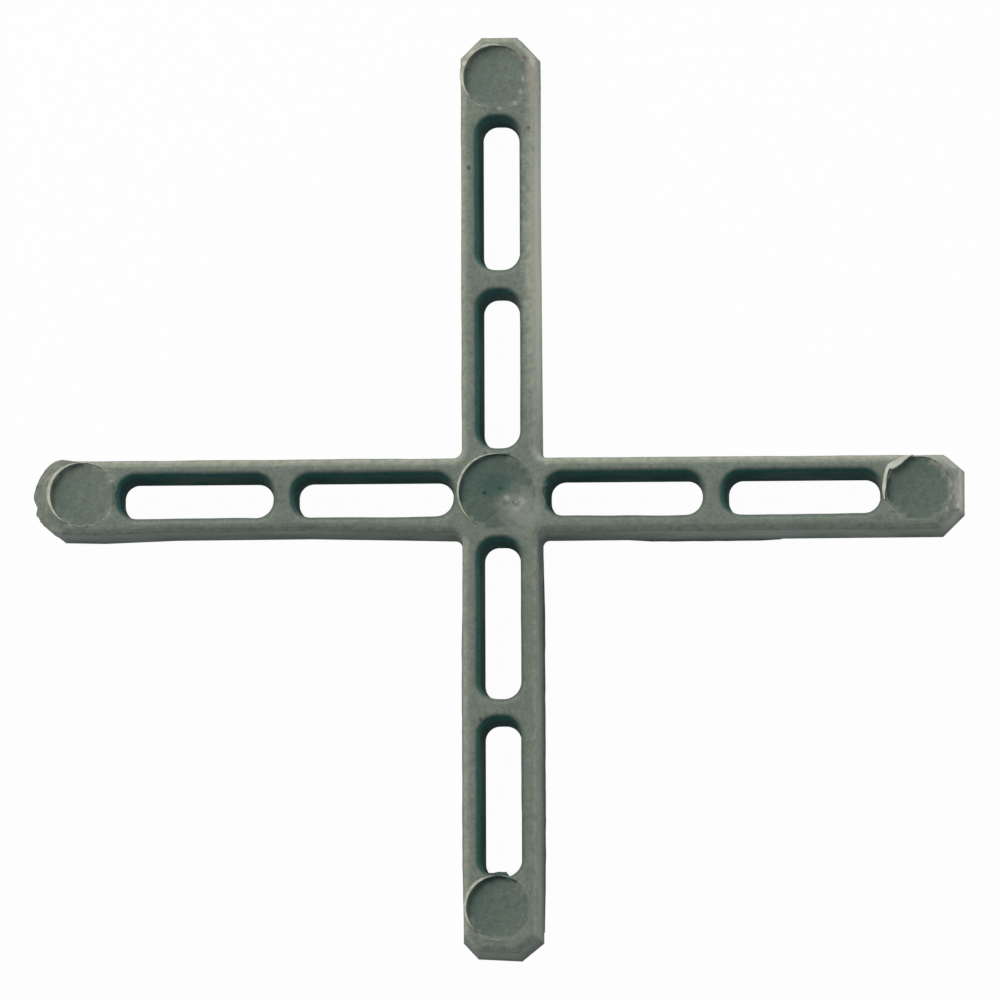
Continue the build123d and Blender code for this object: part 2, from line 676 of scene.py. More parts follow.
@dataclass(frozen=True)
class MouldedPlastic:
    """Matt grey-green plastic as it leaves the mould."""

    name: str = "moulded_plastic"
    base: Colour = (0.17, 0.193, 0.163)
    worn_and_lit: Colour = (0.33, 0.335, 0.28)  # rubbed edges, partly a painted highlight
    hollow: Colour = (0.014, 0.054, 0.051)  # painted shade in dents, slots and low on the walls, where it is mixed with the base
    painted_slot_shade: Colour = (0.035, 0.115, 0.103)  # painted shade down in the slots, on the sides away from the window
    pale: Colour = (0.25, 0.262, 0.228)  # light flecks
    pits: Colour = (0.09, 0.11, 0.098)  # dark flecks
    # How strongly the pale edges show: wear, and partly a painted highlight
    wear_and_highlight: float = 0.75
    blotch: float = 1.0
    cloud: float = 0.3
    warmth: float = 0.16
    flecks: float = 0.4
    roughness: float = 0.68
    gloss: float = 0.22
    relief: float = 0.035 * MM
    stains_and_light: tuple[StainAndLightSpot, ...] = ()

    def material(self) -> Material:
        """Make the material, once.

        Returns:
            The material.
        """
        made = bpy.data.materials.get(self.name)
        if made:
            return made
        made = bpy.data.materials.new(self.name)
        made.use_nodes = True
        graph = Graph(made.node_tree)
        shader = made.node_tree.nodes["Principled BSDF"].inputs
        place = graph.node("TexCoord").outputs["Object"]
        rim = graph.node("Attribute", attribute_name=Mask.RIM.value).outputs["Fac"]
        # Painted shade: a darker, teal colour in the slots, in the dents and low on the walls
        hollow = graph.node("Attribute", attribute_name=Mask.HOLLOW.value).outputs["Fac"]
        down = graph.spread(hollow, 0.6, 1.0, 0.0, 1.0)
        plain = graph.blend(down, graph.blend(hollow, self.base, self.hollow), self.painted_slot_shade)
        mottle = Mottle.place(
            graph, colour=plain, place=place, blotch=self.blotch, cloud=self.cloud, warmth=self.warmth
        )
        colour = mottle["Colour"]
        strength = graph.spread(hollow, 0.05, 0.4, self.flecks, 0.1 * self.flecks)
        for fleck, scale, rarity in ((self.pale, 4300.0, 0.62), (self.pits, 3300.0, 0.66)):
            look = {"fleck": fleck, "scale": scale, "rarity": rarity, "strength": strength}
            colour = Flecks.place(graph, colour=colour, place=place, **look)["Colour"]
        # Pale edges: rubbed plastic, and partly a painted highlight
        look = {"worn_and_lit": self.worn_and_lit, "edge": rim, "amount": self.wear_and_highlight, "scale": 1900.0}
        colour = EdgeWearAndHighlight.place(graph, colour=colour, place=place, **look)["Colour"]
        for spot in self.stains_and_light:
            centre, reach = in_mm(*spot.centre), in_mm(*spot.reach)
            look = {"tint": spot.tint, "centre": centre, "reach": reach, "strength": spot.strength}
            colour = StainAndLight.place(graph, colour=colour, place=place, **look)["Colour"]
        graph.feed(shader["Base Color"], colour)
        rough = graph.spread(mottle["Patch"], 0.3, 0.7, self.roughness - 0.07, self.roughness + 0.07)
        dull = graph.math("ADD", rough, graph.math("MULTIPLY", hollow, 0.2))
        rubbed = graph.math("MULTIPLY", rim, 0.08)
        graph.feed(shader["Roughness"], graph.math("SUBTRACT", dull, rubbed))
        graph.feed(shader["Specular IOR Level"], graph.spread(hollow, 0.0, 0.6, self.gloss, 0.6 * self.gloss))
        bump = graph.node("Bump", {"Strength": 0.6, "Distance": self.relief, "Height": mottle["Height"]})
        graph.feed(shader["Normal"], bump.outputs["Normal"])
        return made


def backdrop_share(graph: Graph) -> NodeSocket:
    """1 for rays that show the background itself: straight ones, reflections and through glass.

    Args:
        graph: Tree of a floor or a world.

    Returns:
        The share.
    """
    path = graph.node("LightPath").outputs
    mirrored = graph.math("MAXIMUM", path["Is Glossy Ray"], path["Is Transmission Ray"])
    return graph.math("MAXIMUM", path["Is Camera Ray"], mirrored)


@dataclass(frozen=True)
class FloorPaper:
    """White paper that keeps a faint shadow."""

    name: str = "floor_paper"
    low: Colour = (0.58, 0.58, 0.58)
    high: Colour = (0.64, 0.64, 0.64)
    fibre_scale: float = 900.0
    glow: float = 0.975  # towards the camera, as a share of white

    def material(self) -> Material:
        """Make the material.

        Returns:
            The material.
        """
        made = bpy.data.materials.new(self.name)
        made.use_nodes = True
        graph = Graph(made.node_tree)
        shader = made.node_tree.nodes["Principled BSDF"]
        fibre = graph.noise(graph.node("TexCoord").outputs["Object"], self.fibre_scale, 4.0, 0.6)
        graph.feed(shader.inputs["Base Color"], graph.blend(fibre, self.low, self.high))
        shader.inputs["Roughness"].default_value = 0.95
        shader.inputs["Specular IOR Level"].default_value = 0.1
        share = graph.math("MULTIPLY", backdrop_share(graph), self.glow)
        white = graph.node("Emission", {"Color": (1, 1, 1), "Strength": 1.0})
        mixed = graph.node("MixShader", {0: share, 1: shader.outputs[0], 2: white.outputs[0]})
        graph.feed(made.node_tree.nodes["Material Output"].inputs["Surface"], mixed.outputs[0])
        return made


# The moulding


class Piece:
    """A piece of the moulding, which is modelled, masked and dressed."""

    def model(self) -> list[Object]:
        """Model its meshes."""
        raise NotImplementedError

    def rim_share(self, spot: Vector, normal: Vector) -> float:
        """How much a point takes of the pale edge colour: wear, and partly a painted highlight."""
        return 0.0

    def painted_shade_share(self, spot: Vector, normal: Vector) -> float:
        """How much painted shade a point has."""
        return 0.0

    def build(self, finish: MouldedPlastic) -> list[Object]:
        """Model the meshes, dress them, hang them on the body's empty and hide the CAD part.

        Args:
            finish: Their finish.

        Returns:
            The meshes.
        """
        pieces = self.model()
        for piece in pieces:
            for mask, share in ((Mask.RIM, self.rim_share), (Mask.HOLLOW, self.painted_shade_share)):
                layer = piece.data.attributes.new(mask.value, "FLOAT", "POINT")
                for vert in piece.data.vertices:
                    layer.data[vert.index].value = clamped(share(vert.co, vert.normal))
            select_only(piece)
            bpy.ops.object.shade_smooth_by_angle(angle=SMOOTH_ANGLE)
            piece.data.materials.clear()
            piece.data.materials.append(finish.material())
            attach(piece, BODY)
            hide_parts(NODE)
        return pieces


@dataclass(frozen=True)
class PinMark:
    """Dent of one ejector pin, and the side on which flash rose beside the pin."""

    name: str
    x: float
    y: float
    radius: float
    depth: float  # in the middle
    tilt: float  # how much deeper the dent is on the side of the flash
    flash_angle: float  # of the thickest flash, in degrees from +X
    flash_width: float  # there, or 0 where a torn flap took the flash's place
    burr_angle: float  # where the fine burr stands highest, in degrees from +X
    shade: float  # how much painted shade the floor has

    @property
    def centre(self) -> Spot:
        """Place of the mark's centre."""
        return (self.x, self.y)

    @property
    def flash_way(self) -> Vector:
        """Level unit vector towards the thickest flash."""
        return heading(self.flash_angle)

    def towards_flash(self, place: Vector) -> float:
        """How far a point lies on the side of the flash, from -1 to 1 at the rim."""
        return (place - Vector((*self.centre, place.z))).dot(self.flash_way) / self.radius

    def floor_under(self, spot: Spot, top: float) -> float:
        """Height of the dent's floor under a point, given that of the upper face."""
        return top - self.depth - self.tilt * self.towards_flash(Vector((*spot, 0)))

    def shade_at(self, place: Vector) -> float:
        """How much painted shade the floor has at a point, more on the side of the flash, whose shadow falls
        there.
        """
        return self.shade + 0.12 * self.towards_flash(place)

    def turn_to(self, place: Vector) -> float:
        """Direction of a point from the mark's centre, in degrees from +X."""
        return degrees(atan2(place.y - self.y, place.x - self.x))

    def distance_to(self, place: Vector) -> float:
        """Level distance of a point from the mark's centre."""
        return (place.xy - Vector(self.centre)).length

    def pin(self, top: float) -> Object:
        """The pin as it stands in its dent, a little tilted.

        Args:
            top: Height of the upper face.

        Returns:
            The pin, long enough to cut the dent with.
        """
        made = rod(self.centre, top - 4 * self.depth, top + 1 * MM, self.radius, "pin")
        lean = self.tilt / self.radius
        slice_off(made, Vector((*self.centre, top - self.depth)), -UP - lean * self.flash_way)
        return made


@dataclass(frozen=True)
class LeaningWall:
    """A wall that leans as the mould's draft makes it, rounded at its upper edge."""

    height: float = 4.5 * MM
    draft: float = 2.0  # in degrees
    land: float = 0.05 * MM  # upright, at the parting line
    rim_radius: float = 0.55 * MM
    rows: int = 12  # of faces up the wall
    rim_rows: int = 7  # of faces round its upper edge

    @property
    def slope(self) -> float:
        """How far the wall leans in for each unit of height."""
        return tan(radians(self.draft))

    def raise_on(self, piece: Object) -> None:
        """Raise such walls on a flat outline.

        Args:
            piece: Sheet on the floor that faces up.
        """
        row = (self.height - self.land - self.rim_radius) / self.rows
        with editing(piece):
            bpy.ops.mesh.select_all(action="SELECT")
            bpy.ops.mesh.extrude_region_move(TRANSFORM_OT_translate={"value": (0, 0, self.land)})
            for _ in range(self.rows):
                bpy.ops.mesh.inset(thickness=row * self.slope, depth=row, use_even_offset=True)
            for inward, upward in quarter_steps(self.rim_radius, self.rim_rows):
                bpy.ops.mesh.inset(thickness=inward, depth=upward, use_even_offset=True)


@dataclass
class CrossBody(Piece):
    """The moulded cross: four arms with two slots each, and the dents of the ejector pins.

    Sizes across an arm or a slot are given at the underside.
    """

    reach: float  # from the middle to the end of an arm
    marks: tuple[PinMark, ...]
    wall: LeaningWall = LeaningWall()
    width: float = 5.1 * MM
    end_clip: float = 1.3 * MM  # off each outer corner, at 45 degrees
    crotch_radius: float = 0.4 * MM
    slot_width: float = 2.24 * MM
    slot_length: float = 9.48 * MM
    slot_start: float = 3.08 * MM  # from the middle of the cross
    slot_pitch: float = 11.14 * MM
    slot_end_flat: float = 0.4 * MM  # straight stretch between the round corners of a slot's end
    slot_rim: float = 0.48 * MM  # radius along a slot's upper edge
    skim: float = 0.004 * MM  # over the upper face, where that rounding begins and leaves no sliver
    # For each arm from east to south, how far the inner and the outer end of its inner slot have
    # slipped outwards, and then those of its outer slot, in millimetres
    slips: tuple[Rung, ...] = (
        ((0.0, 0.0), (0.0, 0.0)),
        ((0.08, 0.06), (0.14, -0.16)),
        ((0.0, 0.2), (0.18, 0.0)),
        ((-0.1, 0.05), (0.0, 0.1)),
    )
    # Places on the sides of the arms, and how far the side has shrunk from there, in millimetres
    bows: tuple[Rung, ...] = (
        ((-25.0, -2.55), (0.0, 0.03)),
        ((-20.5, -2.55), (0.0, 0.19)),
        ((-12.0, -2.55), (0.0, 0.22)),
        ((-6.5, -2.55), (0.0, 0.1)),
        ((2.55, 8.0), (-0.03, 0.0)),
        ((2.55, 20.0), (-0.09, 0.0)),
        ((2.55, 26.5), (-0.07, 0.0)),
    )
    # Corners of the clipped ends, and how far they are from there, in millimetres
    corners: tuple[Rung, ...] = (
        ((27.7, 2.55), (0.2, 0.0)),
        ((29.0, 1.25), (0.0, 0.36)),
        ((29.0, -1.25), (0.0, 0.1)),
        ((27.7, -2.55), (-0.06, 0.06)),
        ((2.55, 27.7), (-0.09, 0.0)),
        ((-1.25, 29.0), (0.14, 0.0)),
        ((-2.55, 27.7), (0.0, -0.1)),
        ((-29.0, -1.25), (0.1, -0.08)),
        ((-27.7, -2.55), (0.24, 0.09)),
        ((-2.55, -27.7), (0.0, -0.14)),
        ((-1.25, -29.0), (-0.36, 0.15)),
        ((1.25, -29.0), (-0.12, 0.0)),
        ((2.55, -27.7), (-0.04, -0.18)),
    )
    grid_step: float = 0.4 * MM
    wave: float = 0.1 * MM  # how far the walls have sunk in places
    wave_size: float = 4.0 * MM
    pucker: float = 0.06 * MM  # how far rims have sunk in small places
    pucker_size: float = 0.9 * MM

    @property
    def slot_flare(self) -> float:
        """How much further a slot reaches on each side at the upper face than at the underside."""
        return (self.wall.height - self.slot_rim) * self.wall.slope + self.slot_rim

    @property
    def slots_end(self) -> float:
        """Distance from the middle of the cross to the far end of the outer slots' rims."""
        return self.slot_start + self.slot_pitch + self.slot_length + self.slot_flare

    @property
    def slot_edge(self) -> float:
        """Distance from the middle of an arm to just past the rim of its slots."""
        return self.slot_width / 2 + self.slot_flare + 0.02 * MM

    def model(self) -> list[Object]:
        """Model the body.

        Returns:
            The mesh.
        """
        body = sheet(self.width, self.width, (0, 0, 0), "cross_body")
        self.draw_outline(body)
        self.wall.raise_on(body)
        cut_with(body, self.slot_cores())
        for dent in self.marks:
            cut_with(body, dent.pin(self.wall.height))
        lay_grid(body, self.grid_step)
        sink(body, "cooling", self.wave_size, self.wave, lambda spot, normal: spot.z / (0.8 * MM))
        sink(body, "pucker", self.pucker_size, self.pucker, self.rim_share)
        return [body]

    def draw_outline(self, body: Object) -> None:
        """Draw the hub out into four arms, clip their ends and round the crotches.

        Args:
            body: The hub as a flat square.
        """
        half = self.width / 2
        clip = (self.reach + half - self.end_clip) / 2
        moves = [(in_mm(*spot, 0), in_mm(*shift, 0)) for spot, shift in self.bows + self.corners]
        with editing(body, Pick.EDGES):
            for way in WAYS:
                pick(body, Pick.EDGES, lambda mid, way=way: (mid - way * half).length < TIGHT)
                bpy.ops.mesh.extrude_region_move(TRANSFORM_OT_translate={"value": way * (self.reach - half)})
            for diagonal in (first + second for first, second in zip(WAYS, WAYS[1:] + WAYS[:1])):
                slice_all(diagonal * clip, diagonal, clear_outer=True)
            for spot, _ in moves[: len(self.bows)]:
                slice_all(spot, ALONG_X if abs(spot.x) > abs(spot.y) else ALONG_Y)
            for spot, shift in moves:
                carry(body, spot, spot + shift)
            bpy.ops.mesh.select_all(action="SELECT")
            bpy.ops.mesh.dissolve_faces()
            pick(body, Pick.VERTS, lambda spot: abs(abs(spot.x) - half) + abs(abs(spot.y) - half) < TIGHT)
            bpy.ops.mesh.bevel(offset=self.crotch_radius, affect="VERTICES", segments=8)

    def slot_cores(self) -> Object:
        """Model the cores of all the slots: round-ended, drafted, and flared at the upper edge.

        Returns:
            One mesh that holds the eight cores.
        """
        past = 0.5 * MM
        row = (self.wall.height - self.slot_rim + past) / self.wall.rows
        middle = self.slot_start + self.slot_length / 2
        length, width = self.slot_length + 2 * self.slot_flare, self.slot_width + 2 * self.slot_flare
        core = sheet(length, width, (middle, 0, self.wall.height + past), "cores")
        with editing(core, Pick.VERTS):
            bpy.ops.mesh.select_all(action="SELECT")
            corner = (self.slot_width - self.slot_end_flat) / 2 + self.slot_flare
            bpy.ops.mesh.bevel(offset=corner, affect="VERTICES", segments=12)
            bpy.ops.mesh.select_all(action="SELECT")
            bpy.ops.mesh.flip_normals()
            bpy.ops.mesh.extrude_region_move(TRANSFORM_OT_translate={"value": (0, 0, self.skim - past)})
            for downward, inward in quarter_steps(self.slot_rim, self.wall.rim_rows):
                bpy.ops.mesh.inset(thickness=inward, depth=downward, use_even_offset=True)
            for _ in range(self.wall.rows):
                bpy.ops.mesh.inset(thickness=row * self.wall.slope, depth=row, use_even_offset=True)
            bpy.ops.mesh.select_all(action="SELECT")
            bpy.ops.mesh.duplicate_move(TRANSFORM_OT_translate={"value": (self.slot_pitch, 0, 0)})
            for way in WAYS[:3]:
                pick(core, Pick.FACES, lambda mid, way=way: mid.dot(way) > 0.4 * self.width)
                bpy.ops.mesh.duplicate()
                bpy.ops.transform.rotate(value=-pi / 2, orient_axis="Z", center_override=(0, 0, 0))
            for way, arm in zip(WAYS, self.slips):
                for number, (inner, outer) in enumerate(arm):
                    centre = middle + number * self.slot_pitch
                    self.slip_end(core, way, centre, -1, inner * MM)
                    self.slip_end(core, way, centre, 1, outer * MM)
        return core

    def slip_end(self, core: Object, way: Vector, centre: float, outward: int, amount: float) -> None:
        """Move one end of one slot core along its arm.

        Args:
            core: Mesh of the cores, in edit mode.
            way: Direction of the arm.
            centre: Of the slot, along the arm.
            outward: 1 for the end nearer to the tip and -1 for the other one.
            amount: How far it moves towards the tip.
        """
        half_pitch = self.slot_pitch / 2
        pick(core, Pick.VERTS, lambda spot: 0 < (spot.dot(way) - centre) * outward < half_pitch)
        bpy.ops.transform.translate(value=way * amount)

    def rim_share(self, spot: Vector, normal: Vector) -> float:
        """How much a point belongs to a rounded upper edge.

        Args:
            spot: Place of the point.
            normal: Direction that the surface faces there.

        Returns:
            1 in the middle of an outer edge's rounding, less at a dent's edge, and 0 off the edges.
        """
        across, along = sorted((abs(spot.x), abs(spot.y)))
        low = spot.z < self.wall.height - 1.2 * self.wall.rim_radius
        if low or (across < self.slot_edge and along < self.slots_end):
            return 0.0
        at_dent = any(dent.distance_to(spot) < dent.radius + 0.05 * MM for dent in self.marks)
        return (0.35 if at_dent else 1.0) * bell(lean_of(normal), middle=48, spread=20)

    def painted_shade_share(self, spot: Vector, normal: Vector) -> float:
        """How much painted shade a point has.

        Args:
            spot: Place of the point.
            normal: Direction that the surface faces there.

        Returns:
            1 down in a slot, on the sides that face away from the window, and less elsewhere in it,
            in a dent and low on the outer walls.
        """
        depth = (self.wall.height - spot.z) / self.wall.height
        for dent in self.marks:
            if dent.distance_to(spot) < dent.radius + 0.01 * MM and depth < 0.1:
                return dent.shade_at(spot) if depth > 0.006 else 0.1
        across, along = sorted((abs(spot.x), abs(spot.y)))
        if across < self.slot_edge and self.slot_start - self.slot_flare < along < self.slots_end:
            steep = ease((lean_of(normal) - 4) / 56)
            away = ease(0.5 + (normal.x - normal.y))
            return max(0.1, steep * (0.45 + 0.55 * away)) if normal.z > -0.5 else 0.3
        return 0.3 * min(1.0, 1.2 * depth)


@dataclass
class PinScar(Piece):
    """What a pin left beside its dent: a crescent of flash, and a fine burr on the other side."""

    mark: PinMark
    height: float  # of the cross's upper face
    span: float = 74.0  # from the thickest flash to each tip of the crescent, in degrees
    rise: float = 0.19 * MM  # of the thickest flash over the upper face
    root: float = 0.4 * MM  # of the crescent under the upper face
    foot: float = 0.05 * MM  # how much wider the crescent is at its root
    edge: float = 0.04 * MM  # rounding of its edges
    burr: float = 0.045 * MM  # radius of the fine burr
    grid_step: float = 0.1 * MM

    def model(self) -> list[Object]:
        """Model the burr, and the crescent where there is one."""
        return [self.ring(), self.crescent()] if self.mark.flash_width else [self.ring()]

    def crescent(self) -> Object:
        """Model the flash between the pin and the wider hole that it was pushed across.

        Returns:
            The mesh.
        """
        pin = self.mark
        way = pin.flash_way
        push = pin.flash_width / (1 - cos(radians(self.span)))
        hole = pin.radius + pin.flash_width - push
        centre = (pin.x + push * way.x, pin.y + push * way.y)
        low, high = self.height - self.root, self.height + 2 * self.rise
        piece = rod(centre, low, high, hole, f"pin_flash_{pin.name}", self.foot)
        slice_off(piece, Vector((*pin.centre, self.height)), pin.radius * UP - self.rise * way)
        cut_with(piece, rod(pin.centre, low - self.root, high + self.root, pin.radius, "pin"))
        soften(piece, self.edge)
        lay_grid(piece, self.grid_step)
        sink(piece, "tearing", size=0.4 * MM, depth=0.12 * MM, share=self.raised_share, push=Push.DOWN)
        sink(piece, "feather", size=0.3 * MM, depth=0.04 * MM, share=self.raised_share)
        return piece

    def ring(self) -> Object:
        """Model the burr round the pin, which shows above the upper face only here and there.

        Returns:
            The mesh.
        """
        bpy.ops.object.select_all(action="DESELECT")
        bpy.ops.mesh.primitive_torus_add(
            location=(*self.mark.centre, self.height - 1.3 * self.burr),
            major_radius=self.mark.radius + 1.1 * self.burr,
            minor_radius=self.burr,
            major_segments=160,
            minor_segments=10,
        )
        piece = settled(f"pin_burr_{self.mark.name}")
        sink(piece, "burr", size=0.35 * MM, depth=0.36 * MM, share=self.burr_share, push=Push.DOWN)
        return piece

    def raised_share(self, spot: Vector, normal: Vector) -> float:
        """How high a point stands over the upper face, as a share of the flash's height."""
        return (spot.z - self.height) / self.rise

    def burr_share(self, spot: Vector, normal: Vector) -> float:
        """How much of the burr is missing in a direction."""
        return 0.55 + turn_between(self.mark.turn_to(spot), self.mark.burr_angle) / 100

    def rim_share(self, spot: Vector, normal: Vector) -> float:
        """Pale where the flash stands over the upper face."""
        return 0.6 + 3 * self.raised_share(spot, normal) if spot.z > self.height - 0.04 * MM else 0.2


@dataclass
class TornFlap(Piece):
    """Flap of flash over the rim of the east dent, which runs on as a strip round the dent."""

    pin: PinMark
    height: float  # of the cross's upper face
    # From the outer to the torn edge, as seen from the mark's centre, in millimetres
    rungs: tuple[Rung, ...] = (
        ((-0.30, 2.13), (-0.36, 2.05)),
        ((-0.60, 2.10), (-0.55, 1.97)),
        ((-0.88, 2.03), (-0.86, 1.74)),
        ((-1.15, 1.93), (-1.05, 1.56)),
        ((-1.42, 1.80), (-1.30, 1.38)),
        ((-1.68, 1.66), (-1.47, 1.28)),
        ((-1.88, 1.52), (-1.63, 1.21)),
        ((-2.00, 1.34), (-1.76, 1.27)),
        ((-2.07, 1.15), (-1.86, 1.10)),
        ((-2.16, 0.80), (-1.94, 0.80)),
        ((-2.22, 0.40), (-1.99, 0.42)),
        ((-2.26, 0.00), (-2.04, 0.00)),
        ((-2.22, -0.35), (-2.08, -0.32)),
        ((-2.13, -0.70), (-2.06, -0.67)),
    )
    rise: float = 0.2 * MM  # over the cross's upper face
    root: float = 0.4 * MM  # under it
    edge: float = 0.05 * MM
    grid_step: float = 0.12 * MM

    def model(self) -> list[Object]:
        """Model the flap.

        Returns:
            The mesh.
        """
        rungs = tuple(tuple(self.spot(end) for end in rung) for rung in self.rungs)
        piece = ribbon(rungs, self.height - self.root, "torn_flap")
        thicken(piece, self.root + self.rise)
        soften(piece, self.edge)
        lay_grid(piece, self.grid_step)
        sink(piece, "curl", size=0.7 * MM, depth=0.12 * MM, share=self.rim_share, push=Push.DOWN)
        sink(piece, "tear", size=0.25 * MM, depth=0.04 * MM, share=self.rim_share)
        return [piece]

    def spot(self, end: Spot) -> Spot:
        """Place of a rung's end."""
        return (self.pin.x + end[0] * MM, self.pin.y + end[1] * MM)

    def rim_share(self, spot: Vector, normal: Vector) -> float:
        """How high a point stands over the upper face, as a share of the flap's height."""
        return (spot.z - self.height) / self.rise


@dataclass
class EndSpill(Piece):
    """Plastic that spilt round the west end, round at the north corner and with a chip out of it."""

    pin: PinMark  # which the spill leaves open
    height: float = 4.45 * MM
    edge: float = 0.2 * MM
    # From the north side round the end to the south side, in millimetres
    outline: tuple[Spot, ...] = (
        *((-26.4, 2.26), (-26.8, 2.36), (-27.15, 2.42), (-27.5, 2.45), (-27.9, 2.35)),
        *((-28.25, 2.12), (-28.55, 1.8), (-28.85, 1.35), (-29.08, 0.85), (-29.24, 0.3)),
        *((-29.25, -0.1), (-29.14, -0.36), (-29.03, -0.6), (-29.09, -0.85), (-29.12, -1.06)),
        *((-28.86, -1.36), (-28.52, -1.66), (-28.1, -2.02), (-27.8, -2.17), (-27.5, -2.2)),
        *((-27.1, -2.1), (-26.7, -1.95)),
    )
    gap: float = 0.02 * MM  # to the pin's dent, as the spill reaches in under the upper face
    level: float = 0.01 * MM  # of its underside
    grid_step: float = 0.2 * MM

    def model(self) -> list[Object]:
        """Model the spill.

        Returns:
            The mesh.
        """
        centre = Vector(self.pin.centre)
        rungs = []
        for outer in (Vector(place) * MM for place in self.outline):
            inward = (outer - centre).normalized() * (self.pin.radius + self.gap)
            rungs.append((tuple(outer), tuple(centre + inward)))
        piece = ribbon(tuple(rungs), self.level, "west_spill")
        thicken(piece, self.height)
        soften(piece, self.edge)
        lay_grid(piece, self.grid_step, (ALONG_X, ALONG_Y, UP))
        sink(piece, "ragged", 0.8 * MM, 0.1 * MM, lambda spot, normal: spot.z / (0.5 * MM))
        sink(piece, "slump", size=0.45 * MM, depth=0.4 * MM, share=self.outer_share, push=Push.DOWN)
        return [piece]

    def outer_share(self, spot: Vector, normal: Vector) -> float:
        """How much a point of the upper side slumps: more, the further out it lies."""
        outer = (self.pin.distance_to(spot) - 2.2 * MM) / (0.9 * MM)
        return outer if spot.z > self.height / 2 else 0.0

    def rim_share(self, spot: Vector, normal: Vector) -> float:
        """Pale along the upper edge."""
        return 0.7 * bell(lean_of(normal), middle=50, spread=30)

    def painted_shade_share(self, spot: Vector, normal: Vector) -> float:
        """A touch of painted shade all over."""
        return 0.1


@dataclass
class GateScar(Piece):
    """Low lump that the gate left in the hub's dent, with a torn, bent groove."""

    hub: PinMark
    height: float  # of the cross's upper face
    centre: Spot = (1.15 * MM, -0.75 * MM)
    radius: float = 1.0 * MM  # at its foot
    slope: float = 0.75 * MM  # width of its flank
    rise: float = 0.07 * MM  # over the dent's floor
    # Places that the groove passes, in millimetres
    groove: tuple[Spot, ...] = (
        *((0.88, -0.46), (0.91, -0.55), (0.99, -0.62)),
        *((1.1, -0.64), (1.2, -0.59), (1.25, -0.5)),
    )
    groove_radius: float = 0.07 * MM
    grid_step: float = 0.1 * MM

    @property
    def floor(self) -> float:
        """Height of the dent's floor under the lump."""
        return self.hub.floor_under(self.centre, self.height)

    def model(self) -> list[Object]:
        """Model the scar.

        Returns:
            The mesh.
        """
        low, high = self.floor - self.rise, self.floor + self.rise
        piece = rod(self.centre, low, high, self.radius - self.slope, "gate_scar", 2 * self.slope)
        for x, y in self.groove:
            bottom, top = self.floor - 0.2 * self.rise, high + self.rise
            cut_with(piece, rod((x * MM, y * MM), bottom, top, self.groove_radius, "tear"))
        lay_grid(piece, self.grid_step)
        sink(piece, "gate", size=0.3 * MM, depth=0.1 * MM, share=self.raised_share, push=Push.DOWN)
        return [piece]

    def raised_share(self, spot: Vector, normal: Vector) -> float:
        """How high a point stands over the dent's floor, as a share of the lump's height."""
        return (spot.z - self.floor) / self.rise

    def rim_share(self, spot: Vector, normal: Vector) -> float:
        """Paler, the higher a point stands."""
        return 0.5 * self.raised_share(spot, normal)

    def painted_shade_share(self, spot: Vector, normal: Vector) -> float:
        """The dent's painted shade, and more painted shade in the groove."""
        near = min((spot.xy - Vector(place) * MM).length for place in self.groove)
        return 0.75 if near < 1.02 * self.groove_radius else self.hub.shade_at(spot)


@dataclass
class Fin(Piece):
    """Thin ragged fin of flash from one place to another, which stands out to the right."""

    name: str
    start: Spot  # in millimetres
    end: Spot  # in millimetres
    reach: float  # how far it stands out at most
    seed: int  # of its ragged edge
    level: float = 0.01 * MM  # of its underside
    step: float = 0.7 * MM  # from one corner of the ragged edge to the next
    shade: float = 0.0  # how much painted shade it has
    thickness: float = 0.07 * MM
    root: float = 0.25 * MM  # how far it goes into the arm

    def model(self) -> list[Object]:
        """Model the fin.

        Returns:
            The mesh.
        """
        start, end = in_mm(*self.start), in_mm(*self.end)
        along = (end - start).normalized()
        out = Vector((along.y, -along.x))
        count = round((end - start).length / self.step)
        chance = Random(self.seed)
        rungs = []
        for number in range(count + 1):
            share = number / count
            swell = min(1.0, 6 * share, 6 * (1 - share)) * chance.uniform(0.7, 1.0)
            spot = start.lerp(end, share)
            rungs.append((tuple(spot + out * self.reach * swell), tuple(spot - out * self.root)))
        piece = ribbon(tuple(rungs), self.level, f"fin_{self.name}")
        thicken(piece, self.thickness)
        return [piece]

    def rim_share(self, spot: Vector, normal: Vector) -> float:
        """Pale all over, less so where it takes painted shade."""
        return 0.6 - self.shade

    def painted_shade_share(self, spot: Vector, normal: Vector) -> float:
        """The same painted shade all over."""
        return self.shade


# The studio


@dataclass(frozen=True)
class Lamp:
    """A round soft lamp that looks at the cross."""

    name: str
    azimuth: float  # in degrees from +X
    elevation: float  # in degrees
    distance: float  # from the middle of the cross
    size: float
    power: float  # in watts
    colour: Colour

    def hang(self) -> None:
        """Hang the lamp."""
        data = bpy.data.lights.new(self.name, "AREA")
        data.shape = "DISK"
        data.size = self.size
        data.energy = self.power
        data.color = self.colour
        made = bpy.data.objects.new(self.name, data)
        bpy.context.scene.collection.objects.link(made)
        tilt = radians(self.elevation)
        back = heading(self.azimuth) * cos(tilt) + UP * sin(tilt)
        made.location = back * self.distance
        made.rotation_mode = "QUATERNION"
        made.rotation_quaternion = back.to_track_quat("Z", "Y")


